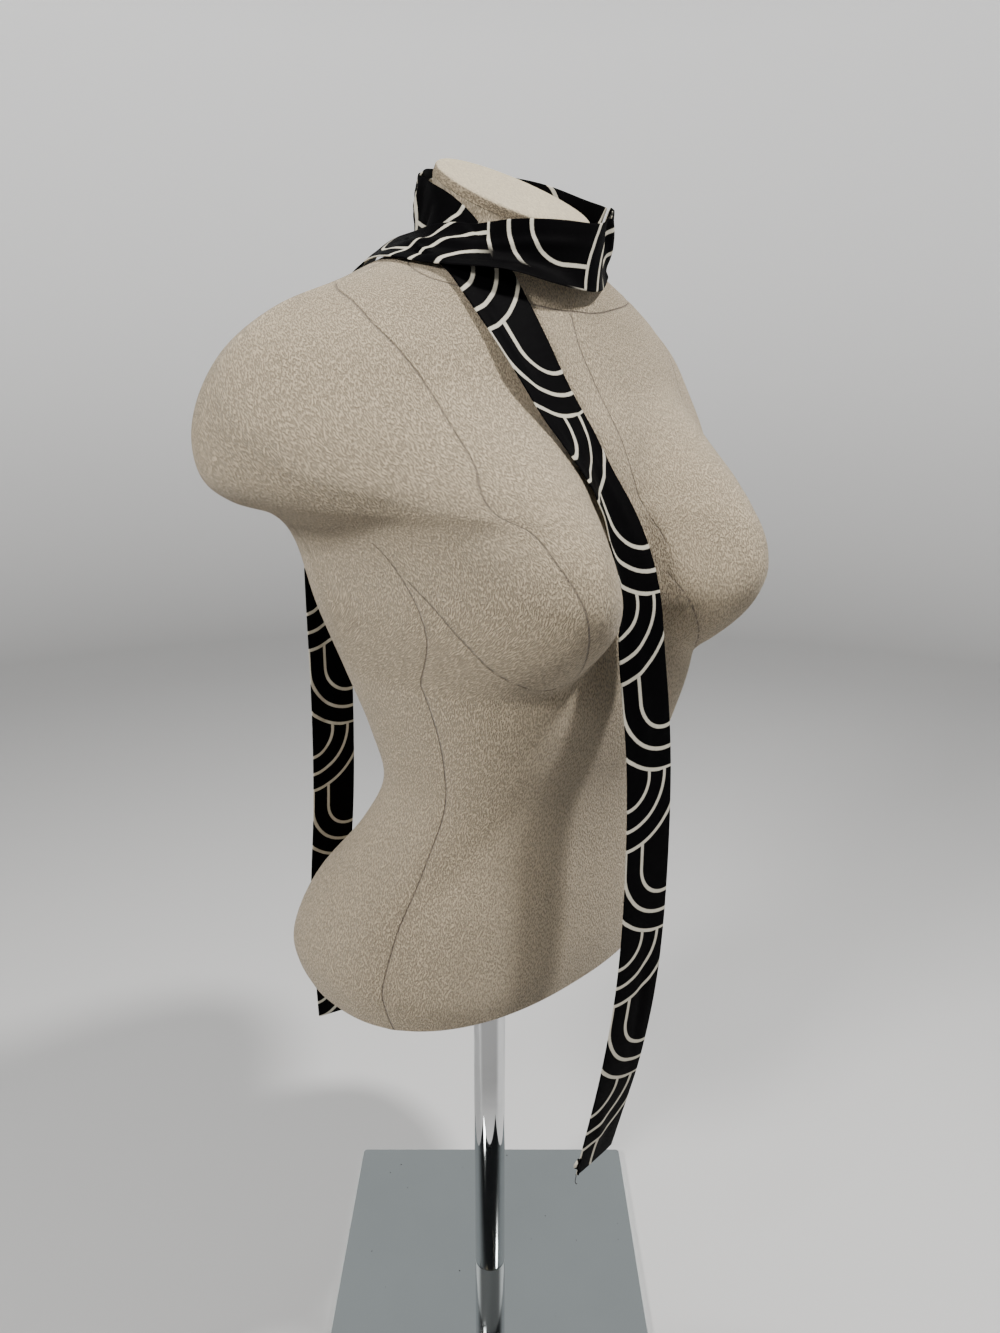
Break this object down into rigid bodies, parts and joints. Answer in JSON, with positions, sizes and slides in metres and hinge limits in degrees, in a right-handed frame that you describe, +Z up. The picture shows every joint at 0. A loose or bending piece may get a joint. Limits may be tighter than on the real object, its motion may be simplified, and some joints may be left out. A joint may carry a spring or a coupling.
{
  "type": "skinny scarf on a limbless dress form with stand",
  "caption": "Narrow satin scarf wound once round the neck of a limbless dress form, with one end down the back and one down the front, on a pole and a square base.",
  "frame": {"origin": "centre of the base plate's underside, on the floor", "axes": "+Z up, the form faces -Y, and its right side is at -X"},
  "size_m": [0.406, 0.3502, 0.8615],
  "materials": {
    "linen_cover": "rough woven linen, natural beige",
    "chrome": "mirror chrome",
    "polished_steel": "satin mirror with small marks",
    "black_satin": "black satin with a thin cream scallop print"
  },
  "bodies": {
    "root": {"form_body": "linen_cover", "neck_cap": "linen_cover", "pole": "chrome", "base_plate": "polished_steel", "scarf_tail_back": "black_satin", "scarf_shoulder": "black_satin", "scarf_neck_front": "black_satin", "scarf_neck_back": "black_satin", "scarf_neck_right": "black_satin", "scarf_tail_front": "black_satin"}
  },
  "joints": []
}
